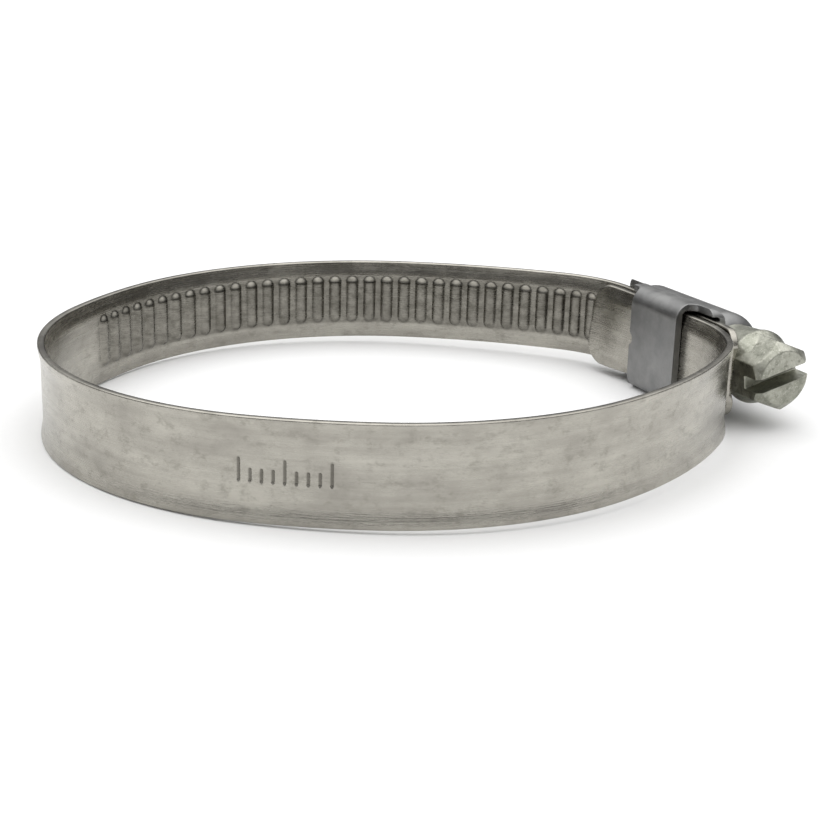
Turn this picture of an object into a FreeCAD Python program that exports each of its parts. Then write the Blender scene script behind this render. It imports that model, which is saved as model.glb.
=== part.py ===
import FreeCAD, Part

import math
import os

# Worm-drive hose clamp for hoses of 40 to 60 mm, shown open to its full 60 mm.
# Row frame, in millimetres: Z is the hose axis and Z = 0 is the middle of the 9 mm strip.
# X runs along the screw towards its hexagon head, and Y points from the hose to the housing.

DRIVING_DIMENSIONS = [
    # alias, value, meaning
    ("hose_radius", 30.0, "largest hose that the open ring takes"),
    ("strip_width", 9.0, "strip, across"),
    ("strip_gauge", 0.7, "strip, thickness"),
    ("ribbed_standoff", 0.2, "extra radius of the ribbed half, so that the ribs clear the hose"),
    ("far_bulge", 2.4, "how far the open ring is oval, opposite the housing"),
    ("far_radius", 26.9, "strip's outer radius opposite the housing"),
    ("far_lean", -4.5, "degrees by which the oval leans from the housing's centre line"),
    ("far_blend_radius", 52.0, "flatter arc between the far end and the round sides"),
    ("fixed_level", 31.0, "inner face of the strip's fixed end under the screw"),
    ("layer_gap", 0.1, "between the fixed end and the ribs that slide over it"),
    ("fixed_straight", 7.8, "straight run of the fixed end, from the middle to the bend"),
    ("fixed_bend", 15.0, "bend where the fixed end leaves the housing"),
    ("fixed_blend", 47.0, "flatter arc from that bend to the round side"),
    ("tail_straight", 7.6, "straight run of the tail on its way in"),
    ("tail_bend", 11.5, "bend where the ribbed tail enters the housing"),
    ("tail_blend", 62.0, "flatter arc from the round side to that bend"),
    ("tongue_length", 3.2, "length of the fixed end past the tail's bend"),
    ("tongue_corner", 2.4, "rounded corners of the fixed end"),
    ("tail_tip", 13.3, "tail's tip, along X"),
    ("tail_droop_start", 6.6, "where the tail starts to curl towards the hose"),
    ("tail_droop_radius", 26.0, "curl of the tail's tip"),
    ("tail_corner", 1.6, "rounded corners of the tail"),
    ("rib_pitch", 2.05, "ribs, also the screw's pitch"),
    ("rib_length", 5.6, "rib across the strip"),
    ("rib_height", 0.42, "rib above the strip's inner face"),
    ("rib_half_width", 0.72, "half the rib's width where it leaves the strip"),
    ("groove_depth", 0.4, "groove behind each rib"),
    ("groove_radius", 0.5, "groove's round section"),
    ("first_rib", 1.4, "first rib's distance from the tail's tip"),
    ("last_rib_angle", 232.0, "degrees from +X at which the ribs end"),
    ("saddle_level", 30.15, "housing's saddle, the face on the hose"),
    ("sheet_gauge", 0.8, "housing sheet, thickness"),
    ("side_clearance", 0.28, "between the strip's edge and the housing wall"),
    ("wall_back", -8.0, "dome and shoulders, end away from the head"),
    ("wall_end", -4.3, "side walls, end away from the head"),
    ("wall_end_level", 33.3, "lower face of the shoulders past the side walls"),
    ("back_window_level", 31.4, "how high the back window cuts into the walls"),
    ("front_window_level", 32.4, "how high the front window cuts into the walls"),
    ("wall_front", 8.8, "housing walls, end at the head"),
    ("dome_front", 7.1, "dome, end at the head"),
    ("dome_end_wall", 1.4, "dome, its closed end round the journal"),
    ("dome_gauge", 0.5, "sheet drawn thinner over the dome"),
    ("dome_corner", 1.8, "rounding of the dome's front end"),
    ("saddle_back", -2.7, "saddle, end away from the head"),
    ("saddle_front", 5.6, "saddle, end at the head"),
    ("shoulder_level", 34.1, "housing's shoulders beside the dome"),
    ("housing_corner", 1.7, "bends between the saddle, walls and shoulders"),
    ("channel_corner", 0.4, "the same bends, inside"),
    ("shoulder_corner", 1.0, "corners of the shoulders, seen from above"),
    ("window_corner", 0.9, "corners of the two windows beside the saddle"),
    ("notch_width", 1.4, "notch in the saddle's back edge"),
    ("notch_depth", 0.5, "depth of that notch"),
    ("worm_radius", 3.7, "screw's thread, outside"),
    ("worm_core_radius", 2.9, "screw's thread, at its root"),
    ("worm_dip", 0.2, "how far the thread dips into the grooves"),
    ("worm_back", -6.9, "worm, end away from the head"),
    ("worm_front", 5.6, "worm, end at the head"),
    ("thread_root_width", 0.96, "thread along the screw, at its root"),
    ("thread_tip_width", 0.4, "thread along the screw, at its tip"),
    ("dome_clearance", 0.1, "between the thread and the dome"),
    ("journal_radius", 2.6, "screw, where it turns in the housing's end wall"),
    ("journal_clearance", 0.08, "radial running clearance of that journal"),
    ("neck_start", 7.25, "neck between the housing and the collar"),
    ("neck_radius", 3.45, "neck, radius at the housing"),
    ("neck_end_radius", 3.72, "neck, radius at the collar"),
    ("collar_start", 11.2, "collar under the hexagon"),
    ("collar_width", 0.4, "collar, thickness"),
    ("collar_radius", 3.85, "collar, radius"),
    ("flange_end", 13.5, "end of the taper from the collar to the hexagon"),
    ("flange_radius", 2.9, "radius at that end"),
    ("head_end", 15.9, "end face of the hexagon head"),
    ("hexagon_flats", 6.35, "hexagon across its flats"),
    ("hexagon_turn", 9.0, "degrees from +Y to the nearest flat"),
    ("head_chamfer", 0.8, "chamfer round the end of the hexagon"),
    ("driver_slot_width", 1.4, "screwdriver slot, width"),
    ("driver_slot_depth", 2.3, "screwdriver slot, depth"),
    ("driver_slot_turn", 14.0, "degrees from +Y to the slot"),
]

UP = FreeCAD.Vector(0, 0, 1)
ALONG_SCREW = FreeCAD.Rotation(FreeCAD.Vector(1, 1, 1), 120)

document = FreeCAD.newDocument("hose_clamp")
sheet = document.addObject("Spreadsheet::Sheet", "Dimensions")
for row, (alias, value, meaning) in enumerate(DRIVING_DIMENSIONS, start=1):
    sheet.set(f"A{row}", alias)
    sheet.set(f"B{row}", str(value))
    sheet.set(f"C{row}", meaning)
    sheet.setAlias(f"B{row}", alias)
document.recompute()


def size(alias):
    """A driving dimension, as the sheet holds it."""
    return float(getattr(sheet, alias))


def add(kind, name, **expressions):
    """A document object whose properties follow the sheet; two underscores stand for a dot."""
    thing = document.addObject(kind, name)
    for field, formula in expressions.items():
        path = field.replace("__", ".")
        named = "".join(f"Dimensions.{word}" if word in ALIASES else word for word in split_words(formula))
        thing.setExpression(path, named)
    return thing


def split_words(formula):
    """The formula as a list of words and the signs between them."""
    words = [""]
    for letter in formula:
        if letter.isalnum() or letter in "_.":
            words[-1] += letter
        else:
            words += [letter, ""]
    return words


ALIASES = {alias for alias, value, meaning in DRIVING_DIMENSIONS}


# ---------------------------------------------------------------- the strip's route

def flat(x, y):
    return FreeCAD.Vector(x, y, 0)


class Bend:
    """One clockwise arc of the strip's middle line."""

    def __init__(self, centre, radius):
        self.centre = centre
        self.radius = radius

    def at(self, degrees):
        angle = math.radians(degrees)
        return self.centre + flat(math.cos(angle), math.sin(angle)) * self.radius

    def angle_of(self, point):
        return math.degrees(math.atan2(point.y - self.centre.y, point.x - self.centre.x))


def blend_between(first, second, radius):
    """The wider arc that touches both bends from outside, going clockwise from the first to the second."""
    reach_first = radius - first.radius
    reach_second = radius - second.radius
    along = second.centre - first.centre
    distance = along.Length
    along.normalize()
    across = flat(along.y, -along.x)
    step = (reach_first ** 2 - reach_second ** 2 + distance ** 2) / (2 * distance)
    offset = math.sqrt(reach_first ** 2 - step ** 2)
    return Bend(first.centre + along * step + across * offset, radius)


def touch(first, second):
    """The point where two bends, one inside the other, touch."""
    wide, tight = (first, second) if first.radius > second.radius else (second, first)
    towards = tight.centre - wide.centre
    towards.normalize()
    return wide.centre + towards * wide.radius


def tail_level():
    """Inner face of the tail where it lies straight over the fixed end."""
    return size("fixed_level") + size("strip_gauge") + size("layer_gap") + size("rib_height")


def strip_route():
    """The strip's middle line from the fixed end's tip to the tail's tip, as (bend or None, start, end)."""
    half = size("strip_gauge") / 2
    fixed_line = size("fixed_level") + half
    tail_line = tail_level() + half
    smooth_side = Bend(flat(0, 0), size("hose_radius") + half)
    ribbed_side = Bend(flat(0, 0), size("hose_radius") + size("ribbed_standoff") + half)
    fixed_bend = Bend(flat(size("fixed_straight"), fixed_line - size("fixed_bend")), size("fixed_bend"))
    tail_bend = Bend(flat(-size("tail_straight"), tail_line - size("tail_bend")), size("tail_bend"))
    tongue_bend = Bend(tail_bend.centre, fixed_line - tail_bend.centre.y)
    droop_centre = flat(size("tail_droop_start"), tail_line - size("tail_droop_radius"))
    tail_droop = Bend(droop_centre, size("tail_droop_radius"))

    far_angle = math.radians(-90 - size("far_lean"))
    far_reach = size("hose_radius") + half + size("far_bulge") - size("far_radius")
    far_end = Bend(flat(math.cos(far_angle), math.sin(far_angle)) * far_reach, size("far_radius"))

    chain = [fixed_bend, blend_between(fixed_bend, smooth_side, size("fixed_blend")), smooth_side]
    chain += [blend_between(smooth_side, far_end, size("far_blend_radius")), far_end]
    chain += [blend_between(far_end, ribbed_side, size("far_blend_radius")), ribbed_side]
    chain += [blend_between(ribbed_side, tail_bend, size("tail_blend")), tail_bend]

    tongue_tip = tongue_bend.at(90 + math.degrees(size("tongue_length") / tongue_bend.radius))
    points = [flat(size("fixed_straight"), fixed_line)]
    points += [touch(first, second) for first, second in zip(chain, chain[1:])]
    points += [flat(-size("tail_straight"), tail_line)]
    droop_start = flat(size("tail_droop_start"), tail_line)
    droop_turn = math.degrees(math.asin((size("tail_tip") - size("tail_droop_start")) / tail_droop.radius))

    route = [(tongue_bend, tongue_tip, tongue_bend.at(90)), (None, tongue_bend.at(90), points[0])]
    route += list(zip(chain, points, points[1:]))
    route += [(None, points[-1], droop_start), (tail_droop, droop_start, tail_droop.at(90 - droop_turn))]
    return route


def clockwise_turn(bend, start, end):
    """Degrees, 0 to 360, that the bend turns clockwise from start to end."""
    return (bend.angle_of(start) - bend.angle_of(end)) % 360


def offset_edge(stretch, offset):
    """One stretch of the route, moved outwards by offset, as an edge."""
    bend, start, end = stretch
    if bend is None:
        return Part.LineSegment(start + flat(0, offset), end + flat(0, offset)).toShape()
    turn = clockwise_turn(bend, start, end)
    moved = Bend(bend.centre, bend.radius + offset)
    first = bend.angle_of(start)
    return Part.Arc(moved.at(first), moved.at(first - turn / 2), moved.at(first - turn)).toShape()


def stretch_length(stretch):
    bend, start, end = stretch
    if bend is None:
        return (end - start).Length
    return bend.radius * math.radians(clockwise_turn(bend, start, end))


def from_tail_tip(route, distance):
    """The point at this distance along the route from the tail's tip, and the outward direction there."""
    for bend, start, end in reversed(route):
        length = stretch_length((bend, start, end))
        if distance <= length:
            if bend is None:
                return end + (start - end) * (distance / length), flat(0, 1)
            degrees = bend.angle_of(end) + math.degrees(distance / bend.radius)
            outward = Bend(flat(0, 0), 1).at(degrees)
            return bend.at(degrees), outward
        distance -= length
    raise ValueError("further than the strip is long")


# ---------------------------------------------------------------- the strip

def capsule(radius, length):
    """A round bar along Z with ball ends, length end to end, centred on the origin."""
    straight = length / 2 - radius
    lean = radius * math.sqrt(0.5)
    bottom = Part.Arc(FreeCAD.Vector(0, 0, -length / 2), FreeCAD.Vector(lean, 0, -straight - lean),
                      FreeCAD.Vector(radius, 0, -straight))
    side = Part.LineSegment(FreeCAD.Vector(radius, 0, -straight), FreeCAD.Vector(radius, 0, straight))
    top = Part.Arc(FreeCAD.Vector(radius, 0, straight), FreeCAD.Vector(lean, 0, straight + lean),
                   FreeCAD.Vector(0, 0, length / 2))
    middle = Part.LineSegment(FreeCAD.Vector(0, 0, length / 2), FreeCAD.Vector(0, 0, -length / 2))
    outline = Part.Wire([curve.toShape() for curve in (bottom, side, top, middle)])
    return Part.Face(outline).revolve(FreeCAD.Vector(0, 0, 0), UP, 360)


def rib_places(route):
    """Middle-line points and outward directions of all ribs, from the tail's tip round the ribbed half."""
    places = []
    distance = size("first_rib")
    while True:
        point, outward = from_tail_tip(route, distance)
        angle = math.degrees(math.atan2(point.y, point.x)) % 360
        if size("last_rib_angle") < angle < 350:
            return places
        places.append((point, outward))
        distance += size("rib_pitch")


def make_strip():
    """One strip: plain fixed end, plain half, ribbed half and tail."""
    half = size("strip_gauge") / 2
    route = strip_route()
    outer = [offset_edge(stretch, half) for stretch in route]
    inner = [offset_edge(stretch, -half) for stretch in route]
    ends = []
    for outside, inside, last in ((outer[0], inner[0], 0), (outer[-1], inner[-1], -1)):
        ends.append(Part.LineSegment(outside.Vertexes[last].Point, inside.Vertexes[last].Point).toShape())
    outline = Part.Wire(Part.__sortEdges__(outer + inner + ends))
    strip = Part.Face(outline).extrude(UP * size("strip_width"))
    strip.translate(UP * (-size("strip_width") / 2))

    tips = [(route[0][1], size("tongue_corner")), (route[-1][2], size("tail_corner"))]
    for tip, corner in tips:
        edges = [edge for edge in strip.Edges
                 if abs(edge.Length - size("strip_gauge")) < 0.01
                 and flat(edge.CenterOfMass.x, edge.CenterOfMass.y).distanceToPoint(tip) < 0.1]
        strip = strip.makeFillet(corner, edges)

    height, width = size("rib_height"), size("rib_half_width")
    rib_radius = (height ** 2 + width ** 2) / (2 * height)
    bar = capsule(rib_radius, size("rib_length"))
    inner_side = Part.makeBox(2 * rib_radius, 2 * rib_radius, size("rib_length"), FreeCAD.Vector(
        -rib_radius, half + height - 3 * rib_radius, -size("rib_length") / 2))
    rib = bar.common(inner_side)
    groove = capsule(size("groove_radius"), size("rib_length") - 2 * (width - size("groove_radius")))
    ribs, grooves = [], []
    for point, outward in rib_places(route):
        for stock, copies, depth in (
            (rib, ribs, -half - height + rib_radius),
            (groove, grooves, half + size("groove_radius") - size("groove_depth")),
        ):
            copy = stock.copy()
            copy.rotate(FreeCAD.Vector(0, 0, 0), UP, math.degrees(math.atan2(outward.y, outward.x)) - 90)
            copy.translate(point + outward * depth)
            copies.append(copy)
    strip = strip.multiFuse(ribs).cut(Part.makeCompound(grooves))
    return strip.Solids[0] if len(strip.Solids) == 1 else strip


strip = document.addObject("Part::Feature", "Strip")
strip.Shape = make_strip()
strip.Label = "strip"


# ---------------------------------------------------------------- the housing

def rounded(name, base, radius_for):
    """The base with every straight edge rounded that radius_for(middle, direction) gives a radius."""
    document.recompute()
    picked = []
    for index, edge in enumerate(base.Shape.Edges, start=1):
        run = edge.Vertexes[-1].Point - edge.Vertexes[0].Point
        if abs(run.Length - edge.Length) < 1e-6 and run.Length > 1:
            run.normalize()
            radius = radius_for(edge.CenterOfMass, run)
            if radius:
                picked.append((index, radius, radius))
    thing = document.addObject("Part::Fillet", name)
    thing.Base = base
    thing.Edges = picked
    return thing


def block(name, x, y, z, length, width, height):
    """A box by formulas: its lowest corner, then its sizes along X, Y and Z."""
    return add("Part::Box", name, Placement__Base__x=x, Placement__Base__y=y, Placement__Base__z=z,
               Length=length, Width=width, Height=height)


def rod(name, x, radius, length):
    """A cylinder on the screw's axis, by formulas."""
    thing = add("Part::Cylinder", name, Radius=radius, Height=length,
                Placement__Base__x=x, Placement__Base__y=SCREW_LEVEL)
    thing.Placement.Rotation = ALONG_SCREW
    return thing


def cone(name, x, radius, end_radius, length):
    """A cone on the screw's axis, by formulas."""
    thing = add("Part::Cone", name, Radius1=radius, Radius2=end_radius, Height=length,
                Placement__Base__x=x, Placement__Base__y=SCREW_LEVEL)
    thing.Placement.Rotation = ALONG_SCREW
    return thing


def join(kind, name, things):
    thing = document.addObject(kind, name)
    thing.Shapes = things
    return thing


def cut(name, base, tools):
    thing = document.addObject("Part::Cut", name)
    thing.Base = base
    thing.Tool = tools[0] if len(tools) == 1 else join("Part::MultiFuse", name + "Tools", tools)
    return thing


SCREW_LEVEL = "fixed_level + 2 * strip_gauge + layer_gap + rib_height - worm_dip + worm_radius"
WALL_HALF = "(strip_width / 2 + side_clearance + sheet_gauge)"
CHANNEL_HALF = "(strip_width / 2 + side_clearance)"
WALL_RUN = "wall_front - wall_back"
DOME_RADIUS = "worm_radius + dome_clearance + dome_gauge"
CAVITY_RADIUS = "worm_radius + dome_clearance"
PAST = 5  # how far cutting tools run past the sheet


def make_housing():
    """One sheet wrapped round the strip: saddle, two walls, shoulders and the dome over the worm."""
    wrap = block("WrapBlock", "wall_back", "saddle_level", f"-{WALL_HALF}",
                 WALL_RUN, "shoulder_level - saddle_level", f"2 * {WALL_HALF}")
    rounded_wrap = rounded("Wrap", wrap, wrap_radius)
    solid = join("Part::MultiFuse", "WrapAndDome", [rounded_wrap, make_dome()])
    pressed = rounded("Pressed", solid, valley_radius)
    channel = block("Channel", f"wall_back - {PAST}", "saddle_level + sheet_gauge", f"-{CHANNEL_HALF}",
                    f"{WALL_RUN} + {2 * PAST}", "shoulder_level - saddle_level - 2 * sheet_gauge",
                    f"2 * {CHANNEL_HALF}")
    rounded_channel = rounded("ChannelRounded", channel, channel_radius)
    cavity = rod("Cavity", "wall_back + sheet_gauge", CAVITY_RADIUS,
                 "dome_front - wall_back - sheet_gauge - dome_end_wall")
    bearing = rod("Bearing", "dome_front - 2 * dome_end_wall", "journal_radius + journal_clearance",
                  f"{PAST}")
    neck_room = rod("NeckRoom", "dome_front", "neck_end_radius + dome_clearance", f"{PAST}")
    hollow = cut("Hollow", pressed, [rounded_channel, cavity, bearing, neck_room])
    tools = [window("FrontWindow", "saddle_front", "front_window_level", 1),
             window("BackWindow", "saddle_back", "back_window_level", -1),
             window("WallEnd", "wall_end", "wall_end_level", -1), notch()]
    housing = cut("Housing", hollow, tools)
    housing.Label = "housing"
    return housing


def make_dome():
    """The round bar that the dome is pressed to, rounded where it faces the head."""
    bar = rod("DomeBlock", "wall_back", DOME_RADIUS, "dome_front - wall_back")
    document.recompute()
    dome = document.addObject("Part::Fillet", "Dome")
    dome.Base = bar
    picked = []
    for index, edge in enumerate(bar.Shape.Edges, start=1):
        if abs(edge.BoundBox.XMin - size("dome_front")) < 1e-3:
            picked.append((index, size("dome_corner"), size("dome_corner")))
    dome.Edges = picked
    return dome


def wrap_radius(middle, direction):
    """The bends along the screw, and the corners of the shoulders."""
    if abs(direction.x) > 0.9:
        return size("housing_corner")
    return size("shoulder_corner") if abs(direction.y) > 0.9 else None


def channel_radius(middle, direction):
    """The inside of the bends along the screw."""
    return size("channel_corner") if abs(direction.x) > 0.9 else None


def valley_radius(middle, direction):
    """The radius pressed into the valleys between the dome and the shoulders."""
    on_shoulder = abs(middle.y - size("shoulder_level")) < 1e-3
    inside_wall = abs(middle.z) < size("strip_width") / 2
    return size("sheet_gauge") / 2 if on_shoulder and inside_wall and abs(direction.x) > 0.9 else None


def window(name, edge, level, side):
    """The opening from the saddle's edge out past the walls, up to a level, with a rounded corner."""
    length = 3 * PAST
    corner = edge if side > 0 else f"{edge} - {length}"
    blank = block(name, corner, f"{level} - {length}", f"-2 * {WALL_HALF}", f"{length}", f"{length}",
                  f"4 * {WALL_HALF}")

    def corner_radius(middle, direction):
        at_corner = abs(middle.x - size(edge)) < 1e-6 and abs(middle.y - size(level)) < 1e-6
        return size("window_corner") if at_corner else None

    return rounded(name + "Rounded", blank, corner_radius)


def notch():
    """The small notch in the saddle's back edge."""
    return add("Part::Cylinder", "Notch", Radius="notch_width / 2", Height=f"{2 * PAST}",
               Placement__Base__x="saddle_back + notch_depth - notch_width / 2",
               Placement__Base__y=f"saddle_level + sheet_gauge + {PAST}",
               Placement__Rotation__Angle="90", Placement__Rotation__Axis__x="1",
               Placement__Rotation__Axis__z="0")


# ---------------------------------------------------------------- the screw

def worm_thread():
    """A trapezoid swept along a helix, in phase with the tail's grooves, and where it starts."""
    pitch = size("rib_pitch")
    start = groove_nearest_back() - pitch / 2
    turns = math.floor((size("worm_front") - size("thread_root_width") - start) / pitch)
    inside, outside = size("worm_core_radius") - 0.1, size("worm_radius")
    root, tip = size("thread_root_width") / 2, size("thread_tip_width") / 2
    corners = [FreeCAD.Vector(inside, 0, -root), FreeCAD.Vector(outside, 0, -tip),
               FreeCAD.Vector(outside, 0, tip), FreeCAD.Vector(inside, 0, root)]
    profile = Part.makePolygon(corners + corners[:1])
    helix = Part.makeHelix(pitch, pitch * turns, outside)
    return Part.Wire(helix.Edges).makePipeShell([profile], True, True), start


def groove_nearest_back():
    """Along X, the first groove of the tail that the worm's back end reaches."""
    straight_grooves = [point.x for point, outward in rib_places(strip_route()) if outward.y > 0.9999]
    reach = size("worm_back") + size("rib_pitch") / 2 + size("thread_root_width")
    return min(x for x in straight_grooves if x > reach)


def make_screw():
    """Worm, journal, neck, collar and slotted hexagon head in one piece."""
    thread = document.addObject("Part::Feature", "Thread")
    thread.Shape, start = worm_thread()
    thread.Placement = FreeCAD.Placement(flat(start, screw_level()), ALONG_SCREW)
    core = rod("WormCore", "worm_back", "worm_core_radius", "worm_front - worm_back")
    journal = rod("Journal", "worm_front - 0.5", "journal_radius", "neck_start - worm_front + 1")
    neck = cone("Neck", "neck_start", "neck_radius", "neck_end_radius", "collar_start - neck_start")
    collar = rod("Collar", "collar_start", "collar_radius", "collar_width")
    flange = cone("Flange", "collar_start + collar_width", "collar_radius", "flange_radius",
                  "flange_end - collar_start - collar_width")
    body = join("Part::MultiFuse", "ScrewBody", [thread, core, journal, neck, collar, flange, make_head()])
    body.Refine = True
    screw = cut("Screw", body, [driver_slot()])
    screw.Label = "screw"
    return screw


def screw_level():
    return tail_level() + size("strip_gauge") - size("worm_dip") + size("worm_radius")


def turned(degrees):
    """The screw's own rotation about its axis, counted from +Y towards +Z."""
    return ALONG_SCREW.multiply(FreeCAD.Rotation(UP, degrees))


def make_head():
    """The hexagon, with a chamfer round its free end."""
    hexagon = add("Part::Prism", "Hexagon", Circumradius="hexagon_flats / sqrt(3)",
                  Height="head_end - collar_start - collar_width / 2",
                  Placement__Base__x="collar_start + collar_width / 2", Placement__Base__y=SCREW_LEVEL)
    hexagon.Polygon = 6
    hexagon.Placement.Rotation = turned(size("hexagon_turn") - 30)
    chamfer = cone("HeadChamfer", "collar_start",
                   "hexagon_flats / 2 - head_chamfer / 2 + head_end - collar_start",
                   "hexagon_flats / 2 - head_chamfer / 2", "head_end - collar_start")
    head = document.addObject("Part::Common", "Head")
    head.Base = hexagon
    head.Tool = chamfer
    return head


def driver_slot():
    """The tool that cuts the screwdriver slot across the head."""
    slot = document.addObject("Part::Box", "DriverSlot")
    slot.setExpression("Length", "4 * Dimensions.hexagon_flats")
    slot.setExpression("Width", "Dimensions.driver_slot_width")
    slot.setExpression("Height", "2 * Dimensions.driver_slot_depth")
    length, width = 4 * size("hexagon_flats"), size("driver_slot_width")
    turn = turned(size("driver_slot_turn"))
    corner = turn.multVec(FreeCAD.Vector(-length / 2, -width / 2, -size("driver_slot_depth")))
    base = FreeCAD.Vector(size("head_end"), screw_level(), 0) + corner
    slot.Placement = FreeCAD.Placement(base, turn)
    return slot


# ---------------------------------------------------------------- recompute, check and write

sub_parts = [strip, make_housing(), make_screw()]
document.recompute()
for thing in document.Objects:
    if "Invalid" in thing.State or "Error" in thing.State:
        raise RuntimeError(f"{thing.Name} did not recompute: {thing.State}")
os.makedirs("parts", exist_ok=True)
for part in sub_parts:
    if part.Shape.isNull() or not part.Shape.isValid():
        raise RuntimeError(f"{part.Label} has no valid shape")
    print(part.Label, "solids", len(part.Shape.Solids), "volume", round(part.Shape.Volume, 2))
    part.Shape.exportStep(f"parts/{part.Label}.step")
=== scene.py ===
import math

import bmesh
import bpy
import numpy as np
from mathutils import Matrix, Vector


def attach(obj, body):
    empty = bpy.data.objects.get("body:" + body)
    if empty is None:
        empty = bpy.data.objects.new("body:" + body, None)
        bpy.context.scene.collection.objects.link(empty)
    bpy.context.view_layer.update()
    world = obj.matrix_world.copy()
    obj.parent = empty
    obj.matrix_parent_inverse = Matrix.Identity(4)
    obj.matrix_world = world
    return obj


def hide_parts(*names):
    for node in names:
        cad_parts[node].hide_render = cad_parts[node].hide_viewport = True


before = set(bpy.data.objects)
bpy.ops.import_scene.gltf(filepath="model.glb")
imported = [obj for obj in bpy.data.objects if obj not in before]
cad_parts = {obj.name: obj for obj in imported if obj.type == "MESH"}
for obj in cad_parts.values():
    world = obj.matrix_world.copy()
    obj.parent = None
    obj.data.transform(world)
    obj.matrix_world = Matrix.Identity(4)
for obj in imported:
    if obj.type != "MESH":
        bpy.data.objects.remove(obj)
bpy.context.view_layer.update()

MM = 0.001

# ---------------------------------------------------------------- the strip, in millimetres and degrees

STRIP_WIDTH = 9.0
STRIP_GAUGE = 0.7
HALF_GAUGE = STRIP_GAUGE / 2
FIXED_LEVEL = 31.0
TAIL_LEVEL = 32.22
SMOOTH_RADIUS = 30.0
RIBBED_RADIUS = 30.2
FIXED_BEND_START = 7.8
FIXED_BEND_RADIUS = 15.0
TAIL_BEND_START = -7.6
TAIL_BEND_RADIUS = 11.5
DROOP_START = 6.6
DROOP_RADIUS = 26.0
TAIL_END = 13.3
TONGUE_LENGTH = 3.2
FAR_ANGLE = -85.5
FAR_RADIUS = 26.9
FAR_BULGE = 2.4
FIXED_BLEND_RADIUS = 47.0
FAR_BLEND_RADIUS = 52.0
TAIL_BLEND_RADIUS = 62.0
RIB_PITCH = 2.05
RIB_LENGTH = 5.6
RIB_HEIGHT = 0.42
RIB_HALF_WIDTH = 0.72
GROOVE_LENGTH = 5.16
GROOVE_DEPTH = 0.4
GROOVE_RADIUS = 0.5
FIRST_RIB = 1.4
LAST_RIB_ANGLE = 232.0
RIBLESS_END_ANGLE = 350.0
TONGUE_CORNER = 2.4
TAIL_CORNER = 1.6
EDGE_ROUNDING = 0.16
FLARE = 0.24
FLARE_START = 2.7
FLARE_RUN = 5.0
TONGUE_LEAN = 0.08
TONGUE_LEAN_FULL = 3.0
TONGUE_LEAN_END = 8.0
BAR_SOFTNESS = 0.05


def flat(x, y):
    return np.array([x, y], float)


def direction(degrees):
    return flat(math.cos(math.radians(degrees)), math.sin(math.radians(degrees)))


class Bend:
    """One clockwise arc of the strip's middle line."""

    def __init__(self, centre, radius):
        self.centre = centre
        self.radius = radius

    def angle_of(self, point):
        return math.degrees(math.atan2(point[1] - self.centre[1], point[0] - self.centre[0]))


def blend_between(first, second, radius):
    """The wider arc that touches both bends from outside."""
    reach_first = radius - first.radius
    reach_second = radius - second.radius
    along = second.centre - first.centre
    distance = float(np.linalg.norm(along))
    along = along / distance
    across = flat(along[1], -along[0])
    step = (reach_first ** 2 - reach_second ** 2 + distance ** 2) / (2 * distance)
    return Bend(first.centre + along * step + across * math.sqrt(reach_first ** 2 - step ** 2), radius)


def touch(first, second):
    """The point where two bends, one inside the other, touch."""
    wide, tight = (first, second) if first.radius > second.radius else (second, first)
    towards = tight.centre - wide.centre
    return wide.centre + towards / np.linalg.norm(towards) * wide.radius


def strip_route():
    """The middle line from the fixed end's tip to the tail's tip, as (bend or None, start, end)."""
    fixed_line = FIXED_LEVEL + HALF_GAUGE
    tail_line = TAIL_LEVEL + HALF_GAUGE
    smooth_side = Bend(flat(0, 0), SMOOTH_RADIUS + HALF_GAUGE)
    ribbed_side = Bend(flat(0, 0), RIBBED_RADIUS + HALF_GAUGE)
    fixed_bend = Bend(flat(FIXED_BEND_START, fixed_line - FIXED_BEND_RADIUS), FIXED_BEND_RADIUS)
    tail_bend = Bend(flat(TAIL_BEND_START, tail_line - TAIL_BEND_RADIUS), TAIL_BEND_RADIUS)
    tongue_bend = Bend(tail_bend.centre, fixed_line - tail_bend.centre[1])
    tail_droop = Bend(flat(DROOP_START, tail_line - DROOP_RADIUS), DROOP_RADIUS)
    far_reach = SMOOTH_RADIUS + HALF_GAUGE + FAR_BULGE - FAR_RADIUS
    far_end = Bend(direction(FAR_ANGLE) * far_reach, FAR_RADIUS)

    chain = [fixed_bend, blend_between(fixed_bend, smooth_side, FIXED_BLEND_RADIUS), smooth_side]
    chain += [blend_between(smooth_side, far_end, FAR_BLEND_RADIUS), far_end]
    chain += [blend_between(far_end, ribbed_side, FAR_BLEND_RADIUS), ribbed_side]
    chain += [blend_between(ribbed_side, tail_bend, TAIL_BLEND_RADIUS), tail_bend]

    tongue_turn = math.degrees(TONGUE_LENGTH / tongue_bend.radius)
    tongue_tip = tongue_bend.centre + direction(90 + tongue_turn) * tongue_bend.radius
    tongue_root = tongue_bend.centre + flat(0, tongue_bend.radius)
    droop_start = flat(DROOP_START, tail_line)
    droop_turn = math.degrees(math.asin((TAIL_END - DROOP_START) / DROOP_RADIUS))
    tail_tip = tail_droop.centre + direction(90 - droop_turn) * DROOP_RADIUS
    points = [flat(FIXED_BEND_START, fixed_line)]
    points += [touch(first, second) for first, second in zip(chain, chain[1:])]
    points += [flat(TAIL_BEND_START, tail_line)]

    route = [(tongue_bend, tongue_tip, tongue_root), (None, tongue_root, points[0])]
    route += list(zip(chain, points, points[1:]))
    route += [(None, points[-1], droop_start), (tail_droop, droop_start, tail_tip)]
    return route


def stretch_length(stretch):
    bend, start, end = stretch
    if bend is None:
        return float(np.linalg.norm(end - start))
    return bend.radius * math.radians((bend.angle_of(start) - bend.angle_of(end)) % 360)


ROUTE = strip_route()
LENGTHS = [stretch_length(stretch) for stretch in ROUTE]
STRIP_LENGTH = sum(LENGTHS)


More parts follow.
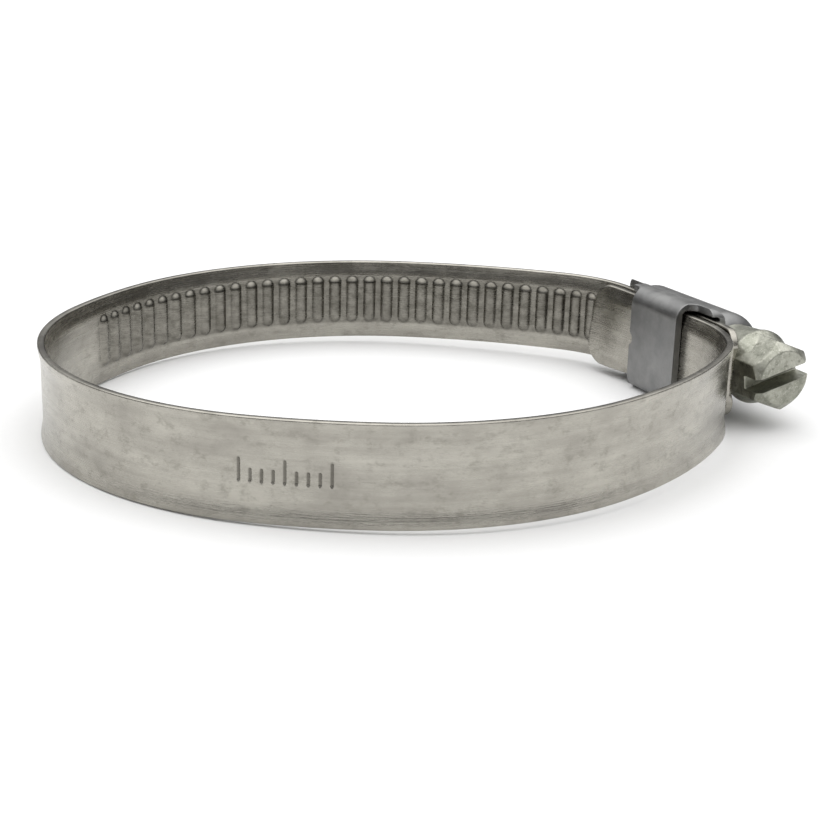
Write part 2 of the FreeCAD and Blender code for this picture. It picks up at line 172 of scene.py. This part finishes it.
def on_route(distance):
    """Middle-line point and outward direction at this distance from the fixed end's tip."""
    for stretch, length in zip(ROUTE, LENGTHS):
        if distance <= length or stretch is ROUTE[-1]:
            bend, start, end = stretch
            if bend is None:
                return start + (end - start) * (distance / length), flat(0, 1)
            outward = direction(bend.angle_of(start) - math.degrees(distance / bend.radius))
            return bend.centre + outward * bend.radius, outward
        distance -= length


def angle_at(distance):
    point, outward = on_route(distance)
    return math.degrees(math.atan2(point[1], point[0])) % 360


def rib_distances():
    """Distances from the fixed end's tip to every rib."""
    found = []
    distance = STRIP_LENGTH - FIRST_RIB
    while not LAST_RIB_ANGLE < angle_at(distance) < RIBLESS_END_ANGLE:
        found.append(distance)
        distance -= RIB_PITCH
    return found[::-1]


# ---------------------------------------------------------------- the stamped scale

MARK_TICKS = 9
MARK_LONG_EVERY = 4
MARK_STEP = 0.95
MARK_LONG = 1.7
MARK_SHORT = 0.85
MARK_STROKE = 0.12
MARK_DEPTH = 0.1
MARK_FLOOR = 0.6
MARK_RIM = 1.5
MARK_ANGLE = 321.0


def mark_segments():
    """A plain row of upright ticks, every fourth one long, centred on the origin, in millimetres."""
    ticks = []
    for i in range(MARK_TICKS):
        along = (i - (MARK_TICKS - 1) / 2) * MARK_STEP
        top = MARK_LONG if i % MARK_LONG_EVERY == 0 else MARK_SHORT
        ticks.append(((along, -MARK_LONG / 2), (along, top - MARK_LONG / 2)))
    return ticks


def mark_press(along, across):
    """How deep the mark is pressed at each grid point: full to the floor, none past the rim."""
    nearest = np.full(along.shape, STRIP_WIDTH)
    for (ax, ay), (bx, by) in mark_segments():
        dx, dy = bx - ax, by - ay
        t = ((along - ax) * dx + (across - ay) * dy) / (dx * dx + dy * dy)
        t = np.clip(t, 0, 1)
        nearest = np.minimum(nearest, np.hypot(along - ax - t * dx, across - ay - t * dy))
    return MARK_DEPTH * (1 - smooth_step(MARK_STROKE * MARK_FLOOR, MARK_STROKE * MARK_RIM, nearest))


# ---------------------------------------------------------------- the strip as a fine grid

TIP_ZONE = 2.6
TIP_STEP = 0.12
PLAIN_STEP = 0.5
MARK_ZONE = 4.4
MARK_GRID_STEP = 0.055
LEAST_STEP = 0.045
SAMPLES_PER_RIB = 20
MIDDLE_ZONE = 0.95
MIDDLE_STEP = 0.06
OUTER_SAMPLES = 26
SEARCH_STEP = 0.05
# Heights where the inner face's darkening is full and where it ends. The darkening is partly oily dirt
# and partly a painted dark reflection.
DIRT_AND_REFLECTION_FULL = 2.5
DIRT_AND_REFLECTION_END = 3.0


def smooth_step(low, high, value):
    t = np.clip((value - low) / (high - low), 0, 1)
    return t * t * (3 - 2 * t)


def soft_positive(value, softness):
    """Close to max(value, 0), with a small rounding where it leaves zero."""
    return (value + np.sqrt(value * value + softness * softness)) / 2


def capsule_height(ds, z, radius, length, height):
    """Height over the sheet of a ball-ended bar that stands out of it by height."""
    past = np.maximum(np.abs(z) - (length / 2 - radius), 0)
    reach = np.minimum(np.hypot(ds, past), radius)
    return soft_positive(np.sqrt(radius ** 2 - reach ** 2) - (radius - height), BAR_SOFTNESS)


def along_samples(ribs, mark_at):
    """Where the grid's cross lines lie: close at ribs, mark and tips, wider elsewhere."""
    fine = RIB_PITCH / SAMPLES_PER_RIB
    ribs_start = ribs[0] - RIB_PITCH / 2
    samples = list(np.arange(0, TIP_ZONE, TIP_STEP))
    samples += list(np.arange(TIP_ZONE, mark_at - MARK_ZONE, PLAIN_STEP))
    samples += list(np.arange(mark_at - MARK_ZONE, mark_at + MARK_ZONE, MARK_GRID_STEP))
    samples += list(np.arange(mark_at + MARK_ZONE, ribs_start, PLAIN_STEP))
    samples += list(np.arange(ribs_start, STRIP_LENGTH - fine / 2, fine)) + [STRIP_LENGTH]
    kept = [0.0]
    for sample in samples:
        if sample - kept[-1] > LEAST_STEP:
            kept.append(sample)
    return np.array(kept)


def across_samples():
    """Heights of the grid's long lines: close in the middle, where the mark is."""
    edge = STRIP_WIDTH / 2 - EDGE_ROUNDING
    half = list(np.arange(0, MIDDLE_ZONE, MIDDLE_STEP))
    half += list(np.linspace(MIDDLE_ZONE, edge, OUTER_SAMPLES))
    return np.array([-z for z in half[:0:-1]] + half)


def half_width(s):
    """Half the strip's width, which shrinks round the corners of both tips."""
    width = STRIP_WIDTH / 2
    for distance, corner in ((s, TONGUE_CORNER), (STRIP_LENGTH - s, TAIL_CORNER)):
        if distance < corner:
            width -= corner - math.sqrt(corner ** 2 - (corner - distance) ** 2)
    return width


def ribbed_dirt_and_reflection(s, z, first_rib):
    """Oily dirt and a painted dark reflection on the inner face: the whole ribbed band, the ribs as
    well as the gaps.
    """
    return smooth_step(-RIB_PITCH, 0.0, s - first_rib) * smooth_step(DIRT_AND_REFLECTION_END, DIRT_AND_REFLECTION_FULL, np.abs(z))


def top_edge():
    """The rounded top edge of a cross section, from outer to inner face, as (offset, height)."""
    edge = STRIP_WIDTH / 2 - EDGE_ROUNDING
    inset = HALF_GAUGE - EDGE_ROUNDING
    turns = [math.radians(degrees) for degrees in (30, 60)]
    half = [(inset + EDGE_ROUNDING * math.cos(a), edge + EDGE_ROUNDING * math.sin(a)) for a in turns]
    half.append((inset, edge + EDGE_ROUNDING))
    return half + [(-offset, height) for offset, height in half[::-1]]


def cross_sections(s, z, outer_fall, inner_rise):
    """The strip's outline at each distance, as (offset from the middle line, height)."""
    top = top_edge()
    bottom = [(-offset, -height) for offset, height in top]
    rows = []
    for i in range(len(s)):
        outer_face = [(HALF_GAUGE - outer_fall[i, j], z[j]) for j in range(len(z))]
        inner_face = [(-HALF_GAUGE - inner_rise[i, j], z[j]) for j in range(len(z) - 1, -1, -1)]
        rows.append(outer_face + top + inner_face + bottom)
    rings = np.array(rows)
    flare = FLARE * smooth_step(0.0, FLARE_RUN, s)[:, None]
    rings[:, :, 0] += flare * smooth_step(FLARE_START, STRIP_WIDTH / 2, np.abs(rings[:, :, 1]))
    lean = TONGUE_LEAN * smooth_step(TONGUE_LEAN_END, TONGUE_LEAN_FULL, s)[:, None]
    rings[:, :, 0] -= lean * (STRIP_WIDTH / 2 - rings[:, :, 1])
    return rings


def grid_faces(count, around):
    """Quads between neighbouring outlines, and a face over each tip."""
    first = np.arange(count - 1)[:, None] * around + np.arange(around)[None]
    second = np.arange(count - 1)[:, None] * around + (np.arange(around)[None] + 1) % around
    quads = np.stack([first, first + around, second + around, second], axis=-1).reshape(-1, 4)
    faces = quads.tolist()
    faces.append(list(range(around)))
    faces.append(list(range(count * around - 1, (count - 1) * around - 1, -1)))
    return faces


def make_strip():
    """The strip: ribs on its inner face, grooves behind them, and the mark on its outer face."""
    ribs = rib_distances()
    places = np.arange(0, STRIP_LENGTH, SEARCH_STEP)
    mark_at = min(places, key=lambda place: abs(angle_at(place) - MARK_ANGLE))
    s = along_samples(ribs, mark_at)
    z = across_samples()
    on_line = [on_route(distance) for distance in s]
    point = np.array([point for point, _ in on_line])
    outward = np.array([outward for _, outward in on_line])

    grid_s, grid_z = np.meshgrid(s, z, indexing="ij")
    nearest = np.array(ribs)[np.argmin(np.abs(s[:, None] - np.array(ribs)[None]), axis=1)]
    ds = grid_s - nearest[:, None]
    rib_radius = (RIB_HEIGHT ** 2 + RIB_HALF_WIDTH ** 2) / (2 * RIB_HEIGHT)
    inner_rise = capsule_height(ds, grid_z, rib_radius, RIB_LENGTH, RIB_HEIGHT)
    outer_fall = capsule_height(ds, grid_z, GROOVE_RADIUS, GROOVE_LENGTH, GROOVE_DEPTH)
    pressed = mark_press(mark_at - grid_s, grid_z)
    outer_fall += pressed

    scale = np.array([half_width(distance) for distance in s]) / (STRIP_WIDTH / 2)
    rings = cross_sections(s, z, outer_fall, inner_rise)
    around = rings.shape[1]
    offsets = rings[:, :, 0]
    heights = rings[:, :, 1] * scale[:, None]
    x = point[:, None, 0] + outward[:, None, 0] * offsets
    y = point[:, None, 1] + outward[:, None, 1] * offsets
    vertices = np.stack([x, y, heights], axis=-1).reshape(-1, 3) * MM

    mesh = bpy.data.meshes.new("strip_grid")
    mesh.from_pydata(vertices.tolist(), [], grid_faces(len(s), around))
    layer = mesh.uv_layers.new(name="along_across")
    along_across = np.stack([np.repeat(s, around), heights.reshape(-1)], axis=-1)
    index = np.zeros(len(mesh.loops), int)
    mesh.loops.foreach_get("vertex_index", index)
    layer.data.foreach_set("uv", along_across[index].ravel())
    outer = slice(0, len(z))
    inner_start = len(z) + len(top_edge())
    inner = slice(inner_start, inner_start + len(z))
    for name, columns, values in (
        ("pressed", outer, pressed / MARK_DEPTH),
        # The inner face's ribbed band is painted darker here: partly oily dirt, partly a painted dark
        # reflection.
        ("dirt_and_reflection_mask", inner, ribbed_dirt_and_reflection(grid_s, grid_z, ribs[0])[:, ::-1]),
    ):
        painted = np.zeros(rings.shape[:2])
        painted[:, columns] = values
        mesh.attributes.new(name, "FLOAT", "POINT").data.foreach_set("value", painted.ravel())
    mesh.polygons.foreach_set("use_smooth", [True] * len(mesh.polygons))
    outward_faces(mesh)
    piece = bpy.data.objects.new("strip_pressed", mesh)
    bpy.context.scene.collection.objects.link(piece)
    return piece


def outward_faces(mesh):
    """Turns all faces to look out of the solid."""
    work = bmesh.new()
    work.from_mesh(mesh)
    bmesh.ops.recalc_face_normals(work, faces=work.faces)
    work.to_mesh(mesh)
    work.free()


# ---------------------------------------------------------------- pieces with rounded edges

def softened(node, name, voxel, rounds):
    """A closed copy of a CAD node on a fine voxel grid, smoothed to round its edges a little."""
    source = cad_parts[node]
    piece = bpy.data.objects.new(name, source.data.copy())
    piece.data.materials.clear()
    bpy.context.scene.collection.objects.link(piece)
    remesh = piece.modifiers.new("Voxels", "REMESH")
    remesh.mode = "VOXEL"
    remesh.voxel_size = voxel
    relax = piece.modifiers.new("Relax", "SMOOTH")
    relax.factor = 0.5
    relax.iterations = rounds
    bpy.context.view_layer.update()
    evaluated = piece.evaluated_get(bpy.context.evaluated_depsgraph_get())
    shape = bpy.data.meshes.new_from_object(evaluated)
    piece.modifiers.clear()
    piece.data = shape
    shape.polygons.foreach_set("use_smooth", [True] * len(shape.polygons))
    return piece


# ---------------------------------------------------------------- materials

STEEL_DARK = (0.298, 0.283, 0.252)
STEEL_PALE = (0.478, 0.46, 0.409)
STEEL_STAIN = (0.22, 0.21, 0.18)
STEEL_SCRATCH = (0.2, 0.195, 0.175)
# Colour of the ribbed band's darkening: partly oily dirt, partly a painted dark reflection.
DIRT_AND_REFLECTION_COLOUR = (0.1, 0.095, 0.08)
TICK_DIRT = (0.06, 0.055, 0.045)
SHEET_DARK = (0.2, 0.2, 0.2)
SHEET_PALE = (0.3, 0.3, 0.295)
ZINC_DARK = (0.23, 0.235, 0.195)
ZINC_PALE = (0.45, 0.45, 0.39)
ZINC_DUST = (0.14, 0.14, 0.115)
ZINC_SPECK = (0.62, 0.61, 0.54)
ZINC_WORN = (0.6, 0.595, 0.53)
PAPER_DARK = (0.86, 0.86, 0.86)
PAPER_PALE = (0.88, 0.88, 0.88)


class Nodes:
    """A short way to write a material's node tree."""

    def __init__(self, name):
        self.material = bpy.data.materials.new(name)
        self.material.use_nodes = True
        self.tree = self.material.node_tree
        self.shader = self.tree.nodes["Principled BSDF"]

    def add(self, kind, **values):
        node = self.tree.nodes.new(kind)
        for key, value in values.items():
            if key in node.bl_rna.properties:
                setattr(node, key, value)
            else:
                node.inputs[key.replace("_", " ")].default_value = value
        return node

    def link(self, output, target):
        self.tree.links.new(output, target)

    def stretched(self, source, scale, noise_scale, detail=4.0, roughness=0.6, offset=(0, 0, 0)):
        """Noise over coordinates stretched by scale."""
        mapping = self.add("ShaderNodeMapping")
        mapping.inputs["Scale"].default_value = scale
        mapping.inputs["Location"].default_value = offset
        self.link(source, mapping.inputs["Vector"])
        noise = self.add("ShaderNodeTexNoise", Scale=noise_scale, Detail=detail, Roughness=roughness)
        self.link(mapping.outputs["Vector"], noise.inputs["Vector"])
        return noise.outputs["Fac"]

    def remap(self, source, from_low, from_high, to_low, to_high):
        node = self.add("ShaderNodeMapRange")
        names = ("From Min", "From Max", "To Min", "To Max")
        for key, value in zip(names, (from_low, from_high, to_low, to_high)):
            node.inputs[key].default_value = value
        self.link(source, node.inputs["Value"])
        return node.outputs["Result"]

    def math(self, operation, first, second):
        node = self.add("ShaderNodeMath", operation=operation)
        for socket, value in zip(node.inputs, (first, second)):
            if isinstance(value, (int, float)):
                socket.default_value = value
            else:
                self.link(value, socket)
        return node.outputs["Value"]

    def paint(self, name):
        """A value painted on the mesh."""
        return self.add("ShaderNodeAttribute", attribute_name=name).outputs["Fac"]

    def mix_colour(self, factor, first, second):
        node = self.add("ShaderNodeMix", data_type="RGBA")
        self.link(factor, node.inputs["Factor"])
        for socket, value in ((node.inputs[6], first), (node.inputs[7], second)):
            if isinstance(value, tuple):
                socket.default_value = (*value, 1)
            else:
                self.link(value, socket)
        return node.outputs[2]

    def shift(self, source, low, high, amount, first, second):
        """Goes from the first colour towards the second as the source goes from low to high."""
        return self.mix_colour(self.remap(source, low, high, 0.0, amount), first, second)

    def bump(self, height, strength, distance, normal=None):
        node = self.add("ShaderNodeBump", Strength=strength, Distance=distance)
        self.link(height, node.inputs["Height"])
        if normal is not None:
            self.link(normal, node.inputs["Normal"])
        return node.outputs["Normal"]


def strip_steel():
    """Rolled stainless strip: streaks along it, smudges, scratches, oily dirt and a painted dark
    reflection on the ribbed band.
    """
    n = Nodes("rolled_strip")
    n.shader.inputs["Metallic"].default_value = 1.0
    uv = n.add("ShaderNodeUVMap", uv_map="along_across").outputs["UV"]
    streaks = n.stretched(uv, (0.05, 7.0, 1.0), 1.0, detail=6.0, roughness=0.7)
    wide_streaks = n.stretched(uv, (0.03, 1.1, 1.0), 1.0, detail=3.0)
    smudges = n.stretched(uv, (0.16, 0.3, 1.0), 1.0, 5.0, 0.65, offset=(3.0, 7.0, 0.0))
    stains = n.stretched(uv, (0.6, 0.8, 1.0), 1.0, 6.0, 0.75, offset=(23.0, 4.0, 0.0))
    grain = n.stretched(uv, (5.0, 9.0, 1.0), 1.0, detail=3.0)
    scratches = n.stretched(uv, (0.9, 11.0, 1.0), 0.8, detail=2.0, offset=(11.0, 2.0, 0.0))
    cloud = n.math("ADD", n.math("MULTIPLY", smudges, 0.65), n.math("MULTIPLY", wide_streaks, 0.35))
    base = n.shift(cloud, 0.35, 0.65, 1.0, STEEL_DARK, STEEL_PALE)
    stained = n.shift(stains, 0.52, 0.64, 0.5, base, STEEL_STAIN)
    marked = n.shift(scratches, 0.68, 0.76, 0.6, stained, STEEL_SCRATCH)

    # The ribbed band is darkened towards this colour: partly oily dirt, partly a painted dark
    # reflection.
    dirt_and_reflection_amount = n.math("MULTIPLY", n.paint("dirt_and_reflection_mask"), n.remap(stains, 0.4, 0.6, 0.5, 0.8))
    with_dirt_and_reflection = n.mix_colour(dirt_and_reflection_amount, marked, DIRT_AND_REFLECTION_COLOUR)
    stamped = n.mix_colour(n.math("MULTIPLY", n.paint("pressed"), 0.7), with_dirt_and_reflection, TICK_DIRT)
    n.link(stamped, n.shader.inputs["Base Color"])

    cloudy = n.remap(cloud, 0.3, 0.7, 0.19, 0.33)
    rough = n.math("ADD", cloudy, n.remap(streaks, 0.35, 0.65, -0.04, 0.04))
    n.link(rough, n.shader.inputs["Roughness"])
    first = n.bump(streaks, 0.6, 0.00002)
    second = n.bump(grain, 0.4, 0.000012, first)
    third = n.bump(scratches, 0.4, 0.00002, second)
    n.link(third, n.shader.inputs["Normal"])
    return n.material


def housing_steel():
    """Pressed sheet: satin, with drawing marks along the screw and a little mottling."""
    n = Nodes("pressed_sheet")
    n.shader.inputs["Metallic"].default_value = 1.0
    place = n.add("ShaderNodeTexCoord").outputs["Object"]
    drawn = n.stretched(place, (600.0, 2500.0, 250.0), 1.0, detail=4.0)
    mottle = n.stretched(place, (300.0, 300.0, 300.0), 1.0, detail=5.0, roughness=0.65)
    grain = n.stretched(place, (5200.0, 5200.0, 5200.0), 1.0, detail=2.0)
    base = n.shift(mottle, 0.36, 0.66, 1.0, SHEET_DARK, SHEET_PALE)
    n.link(base, n.shader.inputs["Base Color"])
    mottled = n.remap(mottle, 0.3, 0.7, 0.34, 0.5)
    rough = n.math("ADD", mottled, n.remap(drawn, 0.35, 0.65, -0.04, 0.04))
    n.link(rough, n.shader.inputs["Roughness"])
    first = n.bump(drawn, 0.35, 0.00002)
    second = n.bump(grain, 0.3, 0.000012, first)
    n.link(second, n.shader.inputs["Normal"])
    return n.material


def screw_zinc():
    """Dull zinc on a cold-headed screw: olive-grey, mottled, brighter on worn edges."""
    n = Nodes("dull_zinc")
    n.shader.inputs["Metallic"].default_value = 1.0
    place = n.add("ShaderNodeTexCoord").outputs["Object"]
    mottle = n.stretched(place, (420.0, 420.0, 420.0), 1.0, detail=6.0, roughness=0.68)
    spots = n.stretched(place, (1500.0, 1500.0, 1500.0), 1.0, 5.0, 0.7, offset=(3.0, 1.0, 5.0))
    grain = n.stretched(place, (4300.0, 4300.0, 4300.0), 1.0, detail=3.0)
    sharpness = n.add("ShaderNodeNewGeometry").outputs["Pointiness"]
    base = n.shift(mottle, 0.36, 0.64, 1.0, ZINC_DARK, ZINC_PALE)
    dusty = n.shift(spots, 0.53, 0.68, 0.7, base, ZINC_DUST)
    speckled = n.shift(grain, 0.56, 0.7, 0.5, dusty, ZINC_SPECK)
    bright = n.shift(sharpness, 0.52, 0.58, 0.35, speckled, ZINC_WORN)
    n.link(bright, n.shader.inputs["Base Color"])
    mottled = n.remap(mottle, 0.3, 0.7, 0.32, 0.48)
    rough = n.math("ADD", mottled, n.remap(spots, 0.35, 0.65, -0.06, 0.06))
    n.link(rough, n.shader.inputs["Roughness"])
    first = n.bump(mottle, 0.5, 0.00008)
    second = n.bump(spots, 0.45, 0.00004, first)
    third = n.bump(grain, 0.4, 0.000014, second)
    n.link(third, n.shader.inputs["Normal"])
    return n.material


# ---------------------------------------------------------------- the object's pieces

strip = make_strip()
housing = softened("housing", "housing_pressed", 0.00007, 3)
screw = softened("screw", "screw_headed", 0.00006, 7)
for piece, node, body, material in (
    (strip, "strip", "clamp", strip_steel()),
    (housing, "housing", "clamp", housing_steel()),
    (screw, "screw", "screw", screw_zinc()),
):
    piece.data.materials.append(material)
    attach(piece, body)
    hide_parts(node)


# ---------------------------------------------------------------- floor, light and camera

# In metres.
TABLE_HALF = 12.0
TABLE_PLACE = (0, -33.0 * MM, -4.53 * MM)
CAMERA_CLIP = 0.005

# In millimetres and degrees.
TABLE_RISE = 1.08
TABLE_RUN = 67.0
KEY_LIGHT_SPREAD = 45.0
CAMERA_PLACE = (131.26, -59.64, 41.35)
CAMERA_AIM = (1.54, 2.81, -4.53)
CAMERA_ROLL = 1.64
CAMERA_LENS = 65.86
CAMERA_SENSOR = 36.0

KEY_LIGHT_FROM = (-0.35, -0.1, 1.0)
KEY_LIGHT_ENERGY = 0.2
ROOM_STRENGTH = 1.82
ROOM_GREYS = ((0.0, 0.06), (0.25, 0.06), (0.5, 0.5), (0.8, 1.0))


def make_floor():
    """A plain pale table that the far edge of the strip and the housing's wall rest on."""
    mesh = bpy.data.meshes.new("table_top")
    corners = [(x * TABLE_HALF, y * TABLE_HALF, 0) for x, y in ((-1, -1), (1, -1), (1, 1), (-1, 1))]
    mesh.from_pydata(corners, [], [(0, 1, 2, 3)])
    table = bpy.data.objects.new("table_top", mesh)
    bpy.context.scene.collection.objects.link(table)
    table.location = TABLE_PLACE
    table.rotation_euler = (-math.atan2(TABLE_RISE, TABLE_RUN), 0, 0)
    n = Nodes("table_paper")
    place = n.add("ShaderNodeTexCoord").outputs["Object"]
    fibre = n.stretched(place, (900.0, 900.0, 900.0), 1.0, detail=3.0)
    n.link(n.mix_colour(fibre, PAPER_DARK, PAPER_PALE), n.shader.inputs["Base Color"])
    n.shader.inputs["Roughness"].default_value = 0.9
    n.shader.inputs["Specular IOR Level"].default_value = 0.1
    mesh.materials.append(n.material)


def make_key_light():
    """A wide soft light from above and behind, the same over the whole table."""
    light = bpy.data.lights.new("key_light", "SUN")
    light.energy = KEY_LIGHT_ENERGY
    light.angle = math.radians(KEY_LIGHT_SPREAD)
    lamp = bpy.data.objects.new("key_light", light)
    bpy.context.scene.collection.objects.link(lamp)
    lamp.rotation_euler = Vector(KEY_LIGHT_FROM).to_track_quat("Z", "Y").to_euler()


def make_surroundings():
    """A dim room with a wide pale ceiling light."""
    world = bpy.data.worlds.new("room")
    bpy.context.scene.world = world
    world.use_nodes = True
    tree = world.node_tree
    background = tree.nodes["Background"]
    where = tree.nodes.new("ShaderNodeTexCoord")
    split = tree.nodes.new("ShaderNodeSeparateXYZ")
    ramp = tree.nodes.new("ShaderNodeValToRGB")
    tree.links.new(where.outputs["Generated"], split.inputs["Vector"])
    tree.links.new(split.outputs["Z"], ramp.inputs["Fac"])
    stops = ramp.color_ramp.elements
    stops[0].position, stops[1].position = ROOM_GREYS[0][0], ROOM_GREYS[-1][0]
    for position, _ in ROOM_GREYS[1:-1]:
        stops.new(position)
    for stop, (_, grey) in zip(stops, ROOM_GREYS):
        stop.color = (grey, grey, grey, 1)
    tree.links.new(ramp.outputs["Color"], background.inputs["Color"])
    background.inputs["Strength"].default_value = ROOM_STRENGTH


def make_camera():
    """The photograph's viewpoint."""
    data = bpy.data.cameras.new("camera")
    data.sensor_width = CAMERA_SENSOR
    data.lens = CAMERA_LENS
    data.clip_start = CAMERA_CLIP
    camera = bpy.data.objects.new("camera", data)
    bpy.context.scene.collection.objects.link(camera)
    place = Vector(CAMERA_PLACE) * MM
    aim = Vector(CAMERA_AIM) * MM
    facing = (aim - place).to_track_quat("-Z", "Y").to_matrix()
    facing = facing @ Matrix.Rotation(math.radians(CAMERA_ROLL), 3, "Z")
    camera.matrix_world = Matrix.Translation(place) @ facing.to_4x4()
    bpy.context.scene.camera = camera


make_floor()
make_surroundings()
make_key_light()
make_camera()
bpy.context.scene.view_settings.view_transform = "Standard"
